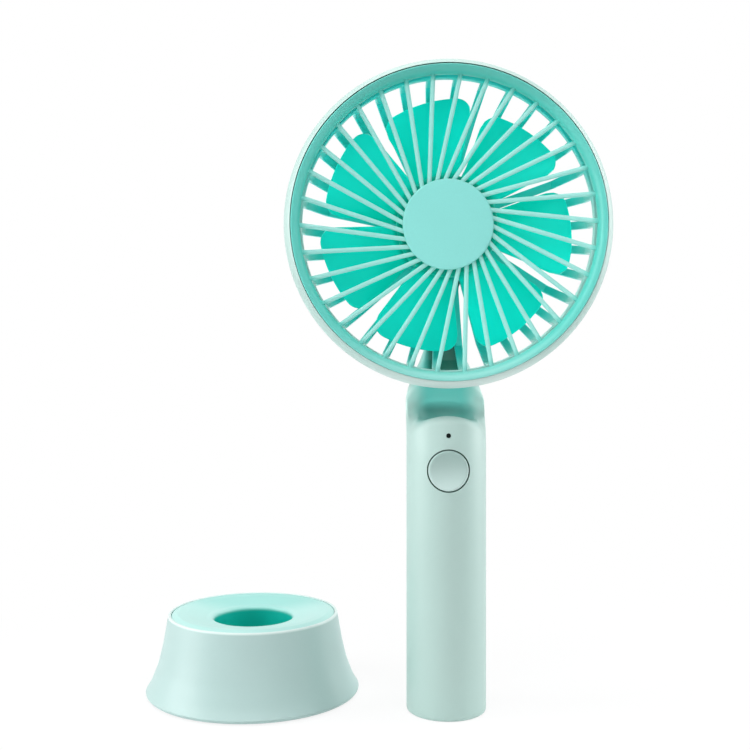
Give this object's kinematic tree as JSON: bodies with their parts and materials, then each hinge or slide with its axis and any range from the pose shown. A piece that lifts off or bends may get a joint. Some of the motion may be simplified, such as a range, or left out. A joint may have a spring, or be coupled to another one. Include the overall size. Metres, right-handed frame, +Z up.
{
  "type": "handheld electric fan",
  "caption": "Handheld fan: straight round handle with a push button, round guarded head with swirled spokes and a spinning impeller, and a flared desk stand with a socket for the handle.",
  "frame": {"origin": "centre of the handle's foot, on the surface that the fan and its stand rest on", "axes": "+Z up along the handle's axis, -Y the way the fan blows, +X to the right seen from the front"},
  "size_m": [0.1539, 0.0726, 0.21],
  "materials": {
    "pale_plastic": "satin",
    "mint_plastic": "satin gloss",
    "teal_plastic": "gloss",
    "black_plastic": "matt",
    "board_green": "satin",
    "led_white": "gloss",
    "dark_lens": "gloss",
    "steel": "satin",
    "cell_wrap": "gloss film",
    "foam": "matt",
    "lead_red": "satin",
    "brass": "satin",
    "copper": "enamelled",
    "ferrite": "matt",
    "core_steel": "stacked sheets",
    "washer_plastic": "satin",
    "foot_rubber": "matt"
  },
  "bodies": {
    "handle": {"handle_front_shell": "pale_plastic", "handle_rear_shell": "pale_plastic", "end_cap": "pale_plastic", "control_board": "board_green", "board_components": "black_plastic", "indicator_led": "led_white", "indicator_lens": "dark_lens", "tact_switch": "black_plastic", "charge_board": "board_green", "charging_socket": "steel", "charging_tongue": "black_plastic", "battery_cell": "cell_wrap", "battery_terminal": "steel", "battery_pads": "foam", "battery_tabs": "steel", "battery_leads": "lead_red", "motor_leads": "lead_red", "head_rim": "pale_plastic", "rear_guard": "mint_plastic", "guard_screws": "steel", "pod_screws": "steel", "motor_can": "steel", "motor_end_bell": "black_plastic", "motor_bushes": "brass", "motor_magnets": "ferrite", "motor_brushes": "brass", "motor_terminals": "brass", "motor_screws": "steel"},
    "impeller": {"impeller": "teal_plastic", "motor_shaft": "steel", "motor_core": "core_steel", "motor_windings": "copper", "commutator": "copper", "thrust_washer": "washer_plastic"},
    "front_grille": {"front_grille": "mint_plastic", "centre_cap": "mint_plastic"},
    "power_button": {"power_button": "pale_plastic", "switch_plunger": "black_plastic"},
    "stand": {"stand_skirt": "pale_plastic", "stand_top": "mint_plastic", "stand_base_plate": "pale_plastic", "stand_foot_ring": "foot_rubber", "stand_screws": "steel"}
  },
  "joints": [
    {"name": "blade_spin", "type": "hinge", "parent": "handle", "child": "impeller", "pos_m": [0, 0, 0.1577], "axis": [0, 1, 0], "continuous": true},
    {"name": "grille_twist", "type": "hinge", "parent": "handle", "child": "front_grille", "pos_m": [0, 0, 0.1577], "axis": [0, -1, 0], "range_deg": [0, 12]},
    {"name": "button_press", "type": "slide", "parent": "handle", "child": "power_button", "axis": [0, 1, 0], "range_m": [0, 0.0005], "stiffness_N_per_m": 800, "springref_m": -0.0005},
    {"name": "stand_slide", "type": "slide", "parent": "handle", "child": "stand", "axis": [1, 0, 0], "range_m": [-0.1, 0.012]}
  ]
}
